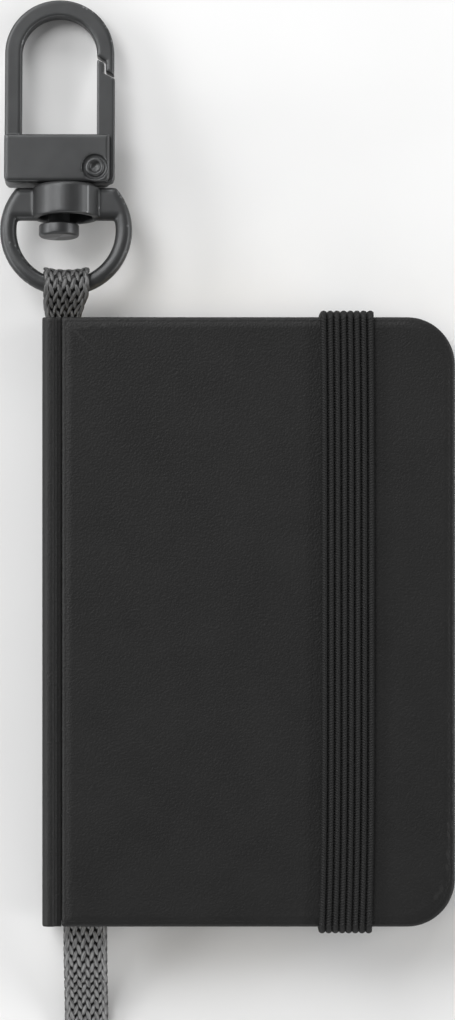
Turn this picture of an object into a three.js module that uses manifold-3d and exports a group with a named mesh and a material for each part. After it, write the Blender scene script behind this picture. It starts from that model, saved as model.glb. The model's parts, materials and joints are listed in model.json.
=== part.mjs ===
// Pocket notebook charm: a small hard-cover notebook with an elastic closure band, a braided
// bookmark, and a swivel snap hook on a braided loop at the head of the spine.
// Millimetres. +Z points out of the front cover, +X to the fore-edge, +Y to the head. The origin
// is the centre of the back cover's outer face.
import * as THREE from 'three';
import { mergeVertices } from 'three/addons/utils/BufferGeometryUtils.js';
import Module from 'manifold-3d';

const wasm = await Module();
wasm.setup();

// ---- Driving dimensions ----

// Case: two boards and a spine strip inside one sheet of leatherette.
const COVER_W = 50.4;
const COVER_H = 74.4;
const CORNER_R = 5.85;
const SKIN = 0.3;
const BOARD = 1.2;
const PASTEDOWN = 0.1;
const COVER_T = SKIN + BOARD + PASTEDOWN;
const BOOK_T = 10.2;
const SPINE_X = -COVER_W / 2;
const FORE_X = COVER_W / 2;
const BOARD_X = SPINE_X + 2.4;
const STRIP_T = 0.5;
const SHOULDER_R = 1.1;
const SHOULDER_END_X = SPINE_X + 1.25;
const GROOVE_SLOPE = 0.6;
const GROOVE_DEPTH = 0.55;

// Text block: flyleaves and sewn signatures in two halves, either side of the bookmark.
const SQUARE = 2;
const TURN_IN = 1.2;
const PAGE_R = 4;
const FOLD_X = SPINE_X + 1.2;
const MIDDLE_Z = BOOK_T / 2;
const FLYLEAF = 0.12;
const SIGNATURES_PER_HALF = 4;
const LEAF_GAP = 0.02;
const LINING = 0.15;

// Closure band: a ribbed elastic through two slots in the back cover.
const ELASTIC_W = 6.5;
const ELASTIC_T = 0.75;
const ELASTIC_X = 12.15;
const ELASTIC_FIT = 0.05;
const SLOT_Y = 28;
const SLOT_DEPTH = SKIN + BOARD + 0.05;
const ANCHOR_END_Y = 35.1;
const WRAP_END_Y = 35.4;
const CREASE_R = 0.1;

// Braided cord, flat: the bookmark, and the loop that holds the ring.
const BRAID_T = 0.8;
const BOOKMARK_W = 5.4;
const BOOKMARK_X = -20.05;
const BOOKMARK_ROUTE = [
  [26.4, 5.1], [20, 5.1], [13, 5.1], [6, 5.1], [-1, 5.1], [-8, 5.1], [-15, 5.1], [-22, 5.1],
  [-28, 5.1], [-33, 5.1], [-37.2, 5.1], [-38.81, 4.98], [-40.38, 4.63], [-41.88, 4.05],
  [-43.29, 3.26], [-44.56, 2.27], [-45.83, 1.29], [-47.24, 0.5], [-48.74, -0.08],
  [-50.31, -0.43], [-51.92, -0.55], [-52.5, -0.55],
];
const LOOP_W = 4.4;
const LOOP_X = -22.5;
const LOOP_SLACK = 0.6;
const LOOP_ROOT_X = -22.2;
const LOOP_ROOT_W = 3.2;
const LOOP_ROOT_Y = 27;
const LOOP_NECK_Y = 37.6;
const LOOP_MOUTH_Y = 38.5;

// Swivel clasp, in its own axes: x across, y along it from the centre of the ring's lower bar,
// z out of its front face. It hangs from the loop and its tip lies on the table.
const BAR_Y = 41.03;
const CLASP_TILT = 7.9 * Math.PI / 180;
const RING_X = -22.45;
const RING_OUTER_R = 8.15;
const RING_INNER_R = 6.1;
const RING_HALF_T = 1;
const RING_ROUNDING = 0.85;
const EAR_LOW = 8.35;
const EAR_HIGH = 12.45;
const HUB_LOW = 8.6;
const HUB_HIGH = 12.6;
const HUB_R = 4.15;
const HUB_BORE_R = 3.3;
const HUB_WEB = 1.2;
const HUB_HOLE_R = 2.25;
const POST_X = -23.32;
const NECK_R = 1.3;
const POST_HEAD_R = 2.48;
const POST_LOW = 6.3;
const POST_HEAD_H = 1.5;
const HOOK_OUTER_R = 6.75;
const HOOK_INNER_R = 4.63;
const HOOK_TOP = 36;
const HOOK_HALF_T = 1.15;
const NOSE_X = 5.72;
const NOSE_DROP = 0.32;
const NOSE_STEP_Y = 28.25;
const NOSE_LOW_Y = 27;
const NOSE_TIP_Y = 26.5;
const BLOCK_LOW = 12.83;
const BLOCK_HIGH = 18.85;
const BLOCK_HALF_T = 2.2;
const BLOCK_ROUNDING = 0.4;
const BLOCK_CORNER_R = 0.8;
const PLATE_RIGHT = 6.24;
const SLOT_LEFT = 1.55;
const SLOT_HALF_T = 1.2;
const GATE_HALF_T = 1.05;
const GATE_PROUD = 0.09;
const GATE_ROOT_Y = 18.2;
const HEEL_X = 2.5;
const HEEL_TOP_Y = 16.9;
const HEEL_LOW_Y = 13.9;
const TOE_X = 3.4;
const GATE_CORNER = 0.8;
const LAP_X = 5.52;
const LAP_TOP_Y = 28.5;
const LAP_STEP_Y = 28.02;
const LAP_LOW_Y = 26.72;
const GATE_SHOULDER_Y = 26.05;
const PIVOT_X = 4.44;
const PIVOT_Y = 14.7;
const PIN_R = 0.8;
const PIN_HEAD_R = 1.2;
const COUNTERSINK_R = 1.6;
const COUNTERSINK_DEPTH = 0.35;
const SPRING_Y = 16.1;
const SPRING_R = 0.5;
const SPRING_WIRE_R = 0.12;
const SPRING_TURNS = 5;
const CLEARANCE = 0.1;

// ---- Materials ----

function finish(color, roughness, metalness) {
  return () => new THREE.MeshStandardMaterial({ color, roughness, metalness });
}

const leatherette = finish(0x2b2b2c, 0.55, 0);
const greyboard = finish(0x8d857a, 0.9, 0);
const paper = finish(0xefe8d6, 0.85, 0);
const elastic = finish(0x222223, 0.85, 0);
const braid = finish(0x38383a, 0.9, 0);
const gunmetal = finish(0x3c3d3f, 0.42, 0.8);
const steel = finish(0x9a9c9e, 0.35, 1);

// ---- Geometry helpers ----

const AXIS_X = new THREE.Vector3(1, 0, 0);
const AXIS_Y = new THREE.Vector3(0, 1, 0);
const AXIS_Z = new THREE.Vector3(0, 0, 1);

function extruded(shape, low, high) {
  const geometry = new THREE.ExtrudeGeometry(shape, {
    depth: high - low, bevelEnabled: false, curveSegments: 10,
  });
  return geometry.translate(0, 0, low);
}

// A plate with rounded edges, centred on z = 0.
function roundedPlate(shape, halfThickness, rounding) {
  const geometry = new THREE.ExtrudeGeometry(shape, {
    depth: 2 * (halfThickness - rounding),
    bevelEnabled: true,
    bevelThickness: rounding,
    bevelSize: rounding,
    bevelOffset: -rounding,
    bevelSegments: 3,
    curveSegments: 20,
  });
  return geometry.translate(0, 0, -(halfThickness - rounding));
}

// A (y, z) outline carried from x = low to x = high.
function alongX(shape, low, high) {
  const turn = new THREE.Matrix4().makeBasis(AXIS_Y, AXIS_Z, AXIS_X);
  return extruded(shape, low, high).applyMatrix4(turn);
}

// An (x, z) outline carried over the height of the cover.
function alongSpine(shape, halfLength) {
  const turn = new THREE.Matrix4().makeBasis(AXIS_X, AXIS_Z, AXIS_Y.clone().negate());
  return extruded(shape, -halfLength, halfLength).applyMatrix4(turn);
}

function box(x0, x1, y0, y1, z0, z1) {
  const geometry = new THREE.BoxGeometry(x1 - x0, y1 - y0, z1 - z0);
  return geometry.translate((x0 + x1) / 2, (y0 + y1) / 2, (z0 + z1) / 2);
}

// A rod parallel to y, from a list of [radius, y] that starts and ends on the axis.
function turned(profile, x) {
  const points = profile.map(([radius, y]) => new THREE.Vector2(radius, y));
  return new THREE.LatheGeometry(points, 48).translate(x, 0, 0);
}

function rodAlongZ(x, y, radius, halfLength) {
  const geometry = new THREE.CylinderGeometry(radius, radius, 2 * halfLength, 28);
  return geometry.rotateX(Math.PI / 2).translate(x, y, 0);
}

function rodAlongX(x0, x1, y, radius) {
  const geometry = new THREE.CylinderGeometry(radius, radius, x1 - x0, 20);
  return geometry.rotateZ(Math.PI / 2).translate((x0 + x1) / 2, y, 0);
}

function polygon(points) {
  return new THREE.Shape(points.map(([x, y]) => new THREE.Vector2(x, y)));
}

function toSolid(geometry) {
  const bare = geometry.clone();
  bare.deleteAttribute('normal');
  bare.deleteAttribute('uv');
  const merged = mergeVertices(bare, 1e-5);
  return new wasm.Manifold(new wasm.Mesh({
    numProp: 3,
    vertProperties: new Float32Array(merged.attributes.position.array),
    triVerts: new Uint32Array(merged.index.array),
  }));
}

function toGeometry(solid) {
  const mesh = solid.getMesh();
  const geometry = new THREE.BufferGeometry();
  geometry.setAttribute('position', new THREE.BufferAttribute(mesh.vertProperties, 3));
  geometry.setIndex(new THREE.BufferAttribute(mesh.triVerts, 1));
  return geometry;
}

function cut(geometry, ...tools) {
  let solid = toSolid(geometry);
  for (const tool of tools) {
    solid = solid.subtract(toSolid(tool));
  }
  return toGeometry(solid);
}

function joined(...geometries) {
  return toGeometry(geometries.map(toSolid).reduce((whole, piece) => whole.add(piece)));
}

const book = new THREE.Group();
const clasp = new THREE.Group();
clasp.position.set(0, BAR_Y, MIDDLE_Z);
clasp.rotation.x = -CLASP_TILT;
book.add(clasp);

function piece(name, geometry, material, parent = book) {
  const mesh = new THREE.Mesh(geometry, material());
  mesh.name = name;
  parent.add(mesh);
  return mesh;
}

// ---- Case ----

// A leaf or board outline: square at the spine, round corners at the fore-edge.
function leaf(left, right, halfHeight, radius) {
  const shape = new THREE.Shape();
  shape.moveTo(left, -halfHeight);
  shape.lineTo(right - radius, -halfHeight);
  shape.absarc(right - radius, radius - halfHeight, radius, -Math.PI / 2, 0, false);
  shape.absarc(right - radius, halfHeight - radius, radius, 0, Math.PI / 2, false);
  shape.lineTo(left, halfHeight);
  return shape;
}

// The slots that the closure band's ends pass through, in the back cover only.
function slots() {
  const half = ELASTIC_W / 2 + CLEARANCE;
  return [-1, 1].map((side) => {
    const middle = side * (SLOT_Y - ELASTIC_T / 2);
    const reach = ELASTIC_T / 2 + CLEARANCE;
    return box(ELASTIC_X - half, ELASTIC_X + half, middle - reach, middle + reach, -1,
      SLOT_DEPTH);
  });
}

// One cover, lying on z = 0 with its outer face down: board, turned-in skin and pastedown.
function cover(side, place, openings) {
  const halfHeight = COVER_H / 2;
  const outline = leaf(BOARD_X, FORE_X, halfHeight, CORNER_R);
  const inset = leaf(BOARD_X + SKIN, FORE_X - SKIN, halfHeight - SKIN, CORNER_R - SKIN);
  const lined = leaf(BOARD_X, FORE_X - TURN_IN, halfHeight - TURN_IN, CORNER_R - TURN_IN);
  const skin = extruded(outline, 0, SKIN + BOARD);
  const board = extruded(inset, SKIN, SKIN + BOARD);
  piece(`${side}_cover_skin`, cut(skin, extruded(inset, SKIN, COVER_T), ...openings), leatherette)
    .applyMatrix4(place);
  piece(`${side}_board`, cut(board, ...openings), greyboard).applyMatrix4(place);
  piece(`${side}_pastedown`, extruded(lined, SKIN + BOARD, COVER_T), paper).applyMatrix4(place);
}

const asBuilt = new THREE.Matrix4();
// The front cover is the back cover given a half turn about a line along X through the middle of
// the block, which leaves its spine edge on the same side.
const facingUp = new THREE.Matrix4().makeRotationX(Math.PI).setPosition(0, 0, BOOK_T);
cover('back', asBuilt, slots());
cover('front', facingUp, []);

// Spine: a card strip behind the flat of the skin.
function spine() {
  const low = SHOULDER_R;
  const high = BOOK_T - SHOULDER_R;
  const halfHeight = COVER_H / 2;
  piece('spine_skin', box(SPINE_X, SPINE_X + SKIN, -halfHeight, halfHeight, low, high),
    leatherette);
  const stripX = SPINE_X + SKIN;
  piece('spine_strip',
    box(stripX, stripX + STRIP_T, SKIN - halfHeight, halfHeight - SKIN, low, high), greyboard);
}
spine();

// The flexible skin between the spine strip and a board: a round shoulder, then the groove.
function hingeSkin(name, place) {
  const bend = new THREE.Shape();
  const centreX = SPINE_X + SHOULDER_R;
  const floor = GROOVE_DEPTH;
  const floorX = SHOULDER_END_X + GROOVE_SLOPE;
  const mitre = SKIN * Math.tan(Math.atan2(GROOVE_DEPTH, GROOVE_SLOPE) / 2);
  bend.moveTo(SPINE_X, SHOULDER_R - LEAF_GAP);
  bend.absarc(centreX, SHOULDER_R, SHOULDER_R, Math.PI * 1.005, Math.PI * 1.5, false);
  bend.lineTo(SHOULDER_END_X, 0);
  bend.lineTo(floorX, floor);
  bend.lineTo(BOARD_X - LEAF_GAP, floor);
  bend.lineTo(BOARD_X - LEAF_GAP, floor + SKIN);
  bend.lineTo(floorX - mitre, floor + SKIN);
  bend.lineTo(SHOULDER_END_X - mitre, SKIN);
  bend.absarc(centreX, SHOULDER_R, SHOULDER_R - SKIN, Math.PI * 1.5, Math.PI * 1.005, true);
  piece(name, alongSpine(bend, COVER_H / 2), leatherette).applyMatrix4(place);
}
hingeSkin('back_hinge_skin', asBuilt);
hingeSkin('front_hinge_skin', facingUp);

// ---- Text block ----

const PAGE_HALF_H = COVER_H / 2 - SQUARE;
const PAGE_RIGHT = FORE_X - SQUARE;

function pages(low, high) {
  return extruded(leaf(FOLD_X, PAGE_RIGHT, PAGE_HALF_H, PAGE_R), low, high);
}

// The hollows that the closed pages keep for the bookmark and for the roots of the loop.
function braidChannels() {
  const half = BRAID_T / 2 + CLEARANCE;
  const wide = BOOKMARK_W / 2 + CLEARANCE;
  const root = LOOP_ROOT_W / 2 + CLEARANCE;
  const thick = BRAID_T + CLEARANCE;
  return [
    box(BOOKMARK_X - wide, BOOKMARK_X + wide + 0.2, -40, LOOP_ROOT_Y - 0.2,
      MIDDLE_Z - half, MIDDLE_Z + half),
    box(LOOP_ROOT_X - root, LOOP_ROOT_X + root + 0.4, LOOP_ROOT_Y - 0.3, 40,
      MIDDLE_Z - thick, MIDDLE_Z + thick),
  ];
}

function halfBlock(side, direction) {
  const deep = MIDDLE_Z - COVER_T - FLYLEAF;
  const step = deep / SIGNATURES_PER_HALF;
  const at = (fromCover) => MIDDLE_Z + direction * (MIDDLE_Z - COVER_T - fromCover);
  const slab = (near, far) => {
    const ends = [at(near + LEAF_GAP / 2), at(far - LEAF_GAP / 2)].sort((a, b) => a - b);
    return pages(...ends);
  };
  piece(`${side}_flyleaf`, slab(0, FLYLEAF), paper);
  for (let number = 1; number <= SIGNATURES_PER_HALF; number += 1) {
    const near = FLYLEAF + (number - 1) * step;
    const signature = slab(near, near + step);
    const innermost = number === SIGNATURES_PER_HALF;
    const shape = innermost ? cut(signature, ...braidChannels()) : signature;
    piece(`${side}_signature_${number}`, shape, paper);
  }
}
halfBlock('back', -1);
halfBlock('front', 1);

piece('spine_lining',
  box(FOLD_X - LINING - LEAF_GAP, FOLD_X - LEAF_GAP, -PAGE_HALF_H + 1, PAGE_HALF_H - 1,
    COVER_T + 0.1, BOOK_T - COVER_T - 0.1), paper);

// ---- Closure band ----

// The band's section along y: over the front, round the head and tail, and in under the back.
function bandLoop() {
  const inY = COVER_H / 2 + ELASTIC_FIT;
  const outY = inY + ELASTIC_T;
  const lowIn = -ELASTIC_FIT;
  const lowOut = lowIn - ELASTIC_T;
  const highIn = BOOK_T + ELASTIC_FIT;
  const highOut = highIn + ELASTIC_T;
  const inR = CREASE_R;
  const outR = inR + ELASTIC_T;
  const quarter = Math.PI / 2;
  const band = new THREE.Shape();
  band.moveTo(WRAP_END_Y, lowOut);
  band.lineTo(outY - outR, lowOut);
  band.absarc(outY - outR, lowOut + outR, outR, -quarter, 0, false);
  band.absarc(outY - outR, highOut - outR, outR, 0, quarter, false);
  band.absarc(outR - outY, highOut - outR, outR, quarter, 2 * quarter, false);
  band.absarc(outR - outY, lowOut + outR, outR, 2 * quarter, 3 * quarter, false);
  band.lineTo(-WRAP_END_Y, lowOut);
  band.lineTo(-WRAP_END_Y, lowIn);
  band.absarc(inR - inY, lowIn + inR, inR, 3 * quarter, 2 * quarter, true);
  band.absarc(inR - inY, highIn - inR, inR, 2 * quarter, quarter, true);
  band.absarc(inY - inR, highIn - inR, inR, quarter, 0, true);
  band.absarc(inY - inR, lowIn + inR, inR, 0, -quarter, true);
  band.lineTo(WRAP_END_Y, lowIn);
  piece('elastic_band', alongX(band, ELASTIC_X - ELASTIC_W / 2, ELASTIC_X + ELASTIC_W / 2),
    elastic);
}
bandLoop();

// Each end of the elastic runs under the back cover to its slot, and up through it.
function bandAnchor(name, side) {
  const outline = polygon([
    [side * ANCHOR_END_Y, -ELASTIC_FIT - ELASTIC_T],
    [side * ANCHOR_END_Y, -ELASTIC_FIT],
    [side * SLOT_Y, -ELASTIC_FIT],
    [side * SLOT_Y, SKIN + BOARD - LEAF_GAP],
    [side * (SLOT_Y - ELASTIC_T), SKIN + BOARD - LEAF_GAP],
    [side * (SLOT_Y - ELASTIC_T), -ELASTIC_FIT - ELASTIC_T],
  ]);
  piece(name, alongX(outline, ELASTIC_X - ELASTIC_W / 2, ELASTIC_X + ELASTIC_W / 2), elastic);
}
bandAnchor('elastic_anchor_head', 1);
bandAnchor('elastic_anchor_tail', -1);

// ---- Braided bookmark and loop ----

function bookmark() {
  const points = BOOKMARK_ROUTE.map(([y, z]) => new THREE.Vector3(BOOKMARK_X, y, z));
  const w = BOOKMARK_W / 2;
  const t = BRAID_T / 2;
  const soft = 0.2;
  const section = polygon([
    [-t, -w + soft], [-t + soft, -w], [t - soft, -w], [t, -w + soft],
    [t, w - soft], [t - soft, w], [-t + soft, w], [-t, w - soft],
  ]);
  return new THREE.ExtrudeGeometry(section, {
    steps: 40, bevelEnabled: false, extrudePath: new THREE.CatmullRomCurve3(points),
  });
}
piece('bookmark_ribbon', bookmark(), braid);

// The loop's section along y: two flat legs that part round the ring's bar.
function ringLoop() {
  const inner = RING_HALF_T + LOOP_SLACK;
  const outer = inner + BRAID_T;
  const mouth = LOOP_MOUTH_Y;
  const spread = Math.acos(inner / (BAR_Y - mouth));
  const lean = Math.acos(inner / (BAR_Y - LOOP_NECK_Y));
  const whole = new THREE.Shape();
  whole.moveTo(LOOP_ROOT_Y, MIDDLE_Z - BRAID_T);
  whole.lineTo(LOOP_NECK_Y, MIDDLE_Z - BRAID_T);
  whole.absarc(BAR_Y, MIDDLE_Z, outer, Math.PI + lean, Math.PI * 3 - lean, false);
  whole.lineTo(LOOP_NECK_Y, MIDDLE_Z + BRAID_T);
  whole.lineTo(LOOP_ROOT_Y, MIDDLE_Z + BRAID_T);
  const eye = new THREE.Path();
  const tangentY = BAR_Y - inner * Math.cos(spread);
  eye.moveTo(mouth, MIDDLE_Z);
  eye.lineTo(tangentY, MIDDLE_Z - inner * Math.sin(spread));
  eye.absarc(BAR_Y, MIDDLE_Z, inner, Math.PI + spread, Math.PI * 3 - spread, false);
  whole.holes.push(eye);
  const trims = [-1, 1].map((side) => {
    const edges = [side * LOOP_ROOT_W / 2, side * LOOP_W].sort((a, b) => a - b);
    return box(LOOP_ROOT_X + edges[0], LOOP_ROOT_X + edges[1], 0, COVER_H / 2, 0, BOOK_T);
  });
  return cut(alongX(whole, LOOP_X - LOOP_W / 2, LOOP_X + LOOP_W / 2), ...trims);
}
piece('ribbon_loop', ringLoop(), braid);

// ---- Swivel clasp ----

// The ring: a round bar below, two flat ears above, and the hub that turns on the post.
function swivelRing() {
  const centreY = (RING_OUTER_R + RING_INNER_R) / 2;
  const top = Math.asin((EAR_HIGH - centreY) / RING_OUTER_R);
  const foot = Math.asin((EAR_LOW - centreY) / RING_INNER_R);
  const outline = new THREE.Shape();
  outline.absarc(RING_X, centreY, RING_OUTER_R, Math.PI - top, Math.PI * 2 + top, false);
  const opening = new THREE.Path();
  opening.absarc(RING_X, centreY, RING_INNER_R, Math.PI - foot, Math.PI * 2 + foot, false);
  outline.holes.push(opening);
  const plate = roundedPlate(outline, RING_HALF_T, RING_ROUNDING);
  const barrel = turned([
    [0, HUB_LOW], [HUB_R - 0.15, HUB_LOW], [HUB_R, HUB_LOW + 0.15], [HUB_R, HUB_HIGH - 0.3],
    [HUB_R - 0.3, HUB_HIGH], [0, HUB_HIGH],
  ], RING_X);
  const webLow = HUB_HIGH - HUB_WEB;
  const bore = turned([
    [0, HUB_LOW - 2], [HUB_BORE_R, HUB_LOW - 2], [HUB_BORE_R, webLow], [HUB_HOLE_R, webLow],
    [HUB_HOLE_R, HUB_HIGH + 1], [0, HUB_HIGH + 1],
  ], RING_X);
  return cut(joined(plate, barrel), bore);
}
piece('swivel_ring', swivelRing(), gunmetal, clasp);

// The post: riveted into the block, its head below the hub.
const POST_TOP = BLOCK_LOW + 2.6;
piece('swivel_post', turned([
  [0, POST_LOW], [POST_HEAD_R - 0.4, POST_LOW], [POST_HEAD_R, POST_LOW + 0.3],
  [POST_HEAD_R, POST_LOW + POST_HEAD_H], [NECK_R, POST_LOW + POST_HEAD_H + 0.5],
  [NECK_R, POST_TOP], [0, POST_TOP],
], POST_X), gunmetal, clasp);

// The hook: an open arch with a stepped nose that the gate closes against.
function hookArch() {
  const centreY = HOOK_TOP - HOOK_OUTER_R;
  const foot = BLOCK_LOW + 2;
  const noseAngle = Math.asin(NOSE_DROP / HOOK_INNER_R);
  const arch = new THREE.Shape();
  arch.moveTo(-HOOK_OUTER_R, foot);
  arch.lineTo(-HOOK_INNER_R, foot);
  arch.absarc(0, centreY, HOOK_INNER_R, Math.PI, -noseAngle, true);
  arch.lineTo(NOSE_X, NOSE_STEP_Y);
  arch.lineTo(NOSE_X, NOSE_LOW_Y);
  arch.lineTo(HOOK_OUTER_R - 0.01, NOSE_TIP_Y);
  arch.absarc(0, centreY, HOOK_OUTER_R, 0, Math.PI, false);
  return roundedPlate(arch, HOOK_HALF_T, 0.35).translate(POST_X, 0, 0);
}

// The block: two cheeks joined on the left, with the gate's slot open on the right.
function hookBlock() {
  const left = -HOOK_OUTER_R;
  const corner = BLOCK_CORNER_R;
  const shape = new THREE.Shape();
  shape.moveTo(left + corner, BLOCK_LOW);
  shape.absarc(PLATE_RIGHT - corner, BLOCK_LOW + corner, corner, -Math.PI / 2, 0, false);
  shape.lineTo(PLATE_RIGHT, BLOCK_HIGH);
  shape.lineTo(left, BLOCK_HIGH);
  shape.absarc(left + corner, BLOCK_LOW + corner, corner, Math.PI, Math.PI * 1.5, false);
  return roundedPlate(shape, BLOCK_HALF_T, BLOCK_ROUNDING).translate(POST_X, 0, 0);
}

function hookFrame() {
  const whole = joined(hookBlock(), hookArch());
  const slot = box(POST_X + SLOT_LEFT, POST_X + 8, BLOCK_LOW - 1, BLOCK_HIGH + 0.5,
    -SLOT_HALF_T, SLOT_HALF_T);
  const postHole = turned([
    [0, BLOCK_LOW - 1], [NECK_R + CLEARANCE, BLOCK_LOW - 1],
    [NECK_R + CLEARANCE, POST_TOP + CLEARANCE], [0, POST_TOP + CLEARANCE],
  ], POST_X);
  const pinHole = rodAlongZ(POST_X + PIVOT_X, PIVOT_Y, PIN_R + CLEARANCE, 3);
  const springPocket = rodAlongX(POST_X + SLOT_LEFT - 1.6, POST_X + SLOT_LEFT + 0.1, SPRING_Y,
    SPRING_R + SPRING_WIRE_R + CLEARANCE);
  const countersinks = [-1, 1].map((side) =>
    rodAlongZ(POST_X + PIVOT_X, PIVOT_Y, COUNTERSINK_R, COUNTERSINK_DEPTH)
      .translate(0, 0, side * BLOCK_HALF_T));
  return cut(whole, slot, postHole, pinHole, springPocket, ...countersinks);
}
piece('hook_frame', hookFrame(), gunmetal, clasp);

// The gate: a flat lever on the pin, with a tongue that laps inside the hook's nose.
function gate() {
  const inner = HOOK_INNER_R;
  const outer = HOOK_OUTER_R + GATE_PROUD;
  const low = BLOCK_LOW + 0.1;
  const lever = polygon([
    [inner, LAP_TOP_Y], [inner, GATE_ROOT_Y], [HEEL_X, HEEL_TOP_Y], [HEEL_X, HEEL_LOW_Y],
    [TOE_X, low], [outer - GATE_CORNER, low], [outer - 0.2, low + 0.25], [outer, low + GATE_CORNER],
    [outer, GATE_SHOULDER_Y], [LAP_X, LAP_LOW_Y], [LAP_X, LAP_STEP_Y],
  ].reverse());
  const body = roundedPlate(lever, GATE_HALF_T, 0.2).translate(POST_X, 0, 0);
  return cut(body, rodAlongZ(POST_X + PIVOT_X, PIVOT_Y, PIN_R + CLEARANCE, 3));
}
piece('gate', gate(), gunmetal, clasp);

// The pin: a tubular rivet with a rolled, dimpled head sunk in each cheek.
function gatePin() {
  const end = BLOCK_HALF_T - 0.02;
  const under = BLOCK_HALF_T - 0.3;
  const profile = [
    [0, -end + 0.3], [0.5, -end + 0.2], [0.6, -end], [PIN_HEAD_R - 0.15, -end],
    [PIN_HEAD_R, -end + 0.15], [PIN_R, -under], [PIN_R, under], [PIN_HEAD_R, end - 0.15],
    [PIN_HEAD_R - 0.15, end], [0.6, end], [0.5, end - 0.2], [0, end - 0.3],
  ];
  return turned(profile, 0).rotateX(Math.PI / 2).translate(POST_X + PIVOT_X, PIVOT_Y, 0);
}
piece('gate_pin', gatePin(), gunmetal, clasp);

// The spring: a short coil in the block that pushes the gate shut.
function gateSpring() {
  const left = POST_X + SLOT_LEFT - 1.35;
  const right = POST_X + HEEL_X - SPRING_WIRE_R - 0.05;
  const coil = [];
  for (let step = 0; step <= SPRING_TURNS * 8; step += 1) {
    const angle = step * Math.PI / 4;
    coil.push(new THREE.Vector3(
      left + (right - left) * step / (SPRING_TURNS * 8),
      SPRING_Y + SPRING_R * Math.cos(angle),
      SPRING_R * Math.sin(angle),
    ));
  }
  const wire = new THREE.Shape().absarc(0, 0, SPRING_WIRE_R, 0, Math.PI * 2, false);
  return new THREE.ExtrudeGeometry(wire, {
    steps: SPRING_TURNS * 10,
    curveSegments: 3,
    bevelEnabled: false,
    extrudePath: new THREE.CatmullRomCurve3(coil),
  });
}
piece('gate_spring', gateSpring(), steel, clasp);

export default book;
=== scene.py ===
import json
import math

import bmesh
import bpy
import numpy as np
from mathutils import Matrix, Vector


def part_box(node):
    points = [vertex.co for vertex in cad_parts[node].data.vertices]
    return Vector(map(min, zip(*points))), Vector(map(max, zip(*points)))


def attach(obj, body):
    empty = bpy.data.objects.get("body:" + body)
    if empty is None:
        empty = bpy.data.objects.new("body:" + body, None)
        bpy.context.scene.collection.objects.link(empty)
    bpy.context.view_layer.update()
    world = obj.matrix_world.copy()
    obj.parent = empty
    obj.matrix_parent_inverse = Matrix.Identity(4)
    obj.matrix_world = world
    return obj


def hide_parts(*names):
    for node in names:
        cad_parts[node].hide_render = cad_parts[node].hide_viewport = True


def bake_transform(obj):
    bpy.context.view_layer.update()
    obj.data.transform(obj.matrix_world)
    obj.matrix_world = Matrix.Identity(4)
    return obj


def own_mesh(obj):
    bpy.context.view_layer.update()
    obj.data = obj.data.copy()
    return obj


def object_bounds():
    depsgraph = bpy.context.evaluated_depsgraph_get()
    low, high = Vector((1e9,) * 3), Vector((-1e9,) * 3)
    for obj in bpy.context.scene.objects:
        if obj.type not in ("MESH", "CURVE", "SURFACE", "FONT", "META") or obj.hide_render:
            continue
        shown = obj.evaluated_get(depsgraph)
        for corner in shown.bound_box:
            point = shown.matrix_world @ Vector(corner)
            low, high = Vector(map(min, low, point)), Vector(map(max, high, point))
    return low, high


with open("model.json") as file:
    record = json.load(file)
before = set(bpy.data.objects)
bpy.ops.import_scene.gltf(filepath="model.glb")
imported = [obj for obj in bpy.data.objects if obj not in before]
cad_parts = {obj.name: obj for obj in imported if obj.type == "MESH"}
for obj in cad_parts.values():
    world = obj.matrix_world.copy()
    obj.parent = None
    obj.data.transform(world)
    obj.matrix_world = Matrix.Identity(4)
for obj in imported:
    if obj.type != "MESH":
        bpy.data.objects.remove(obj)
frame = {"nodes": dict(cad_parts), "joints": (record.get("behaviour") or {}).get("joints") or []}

CAD_LOW, CAD_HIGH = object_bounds()
MM = 0.001
NODES = frame["nodes"]
JOINTS = {joint["name"]: joint for joint in frame["joints"]}

# ---- Places taken from the frame ----

BACK_LOW, BACK_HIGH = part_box("back_cover_skin")
SPINE_LOW, SPINE_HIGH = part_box("spine_skin")
BAND_LOW, BAND_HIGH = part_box("elastic_band")
LOOP_LOW, LOOP_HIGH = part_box("ribbon_loop")
TAIL_LOW, TAIL_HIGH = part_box("bookmark_ribbon")
BOOK_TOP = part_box("front_cover_skin")[1].z
MIDDLE_Z = BOOK_TOP / 2
HALF_H = BACK_HIGH.y
BAR = Vector(JOINTS["ring_swing"]["pos_m"])
SWIVEL_AXIS = Vector(JOINTS["hook_swivel"]["axis"])
CLASP_TILT = math.atan2(-SWIVEL_AXIS.z, SWIVEL_AXIS.y)

# From the clasp's own axes, in millimetres and level, to its tilted place in the frame.
CLASP = (
    Matrix.Translation((0, BAR.y, BAR.z))
    @ Matrix.Rotation(-CLASP_TILT, 4, "X")
    @ Matrix.Scale(MM, 4)
)

# ---- Camera ----

# The view looks straight down on the cover. Its middle is 13.66 mm towards the head from the
# cover's centre and 2.56 mm towards the spine, and it takes in 124.4 mm at the front cover.
VIEW_CENTRE = Vector((-2.56 * MM, 13.66 * MM, BOOK_TOP))
VIEW_HEIGHT = 124.4 * MM
VIEW_DISTANCE = 0.6

camera_data = bpy.data.cameras.new("camera")
camera_data.sensor_width = 36
camera_data.lens = 36 * VIEW_DISTANCE / VIEW_HEIGHT
camera = bpy.data.objects.new("camera", camera_data)
bpy.context.scene.collection.objects.link(camera)
camera.location = VIEW_CENTRE + Vector((0, 0, VIEW_DISTANCE))
bpy.context.scene.camera = camera

# ---- Mesh helpers ----


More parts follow.
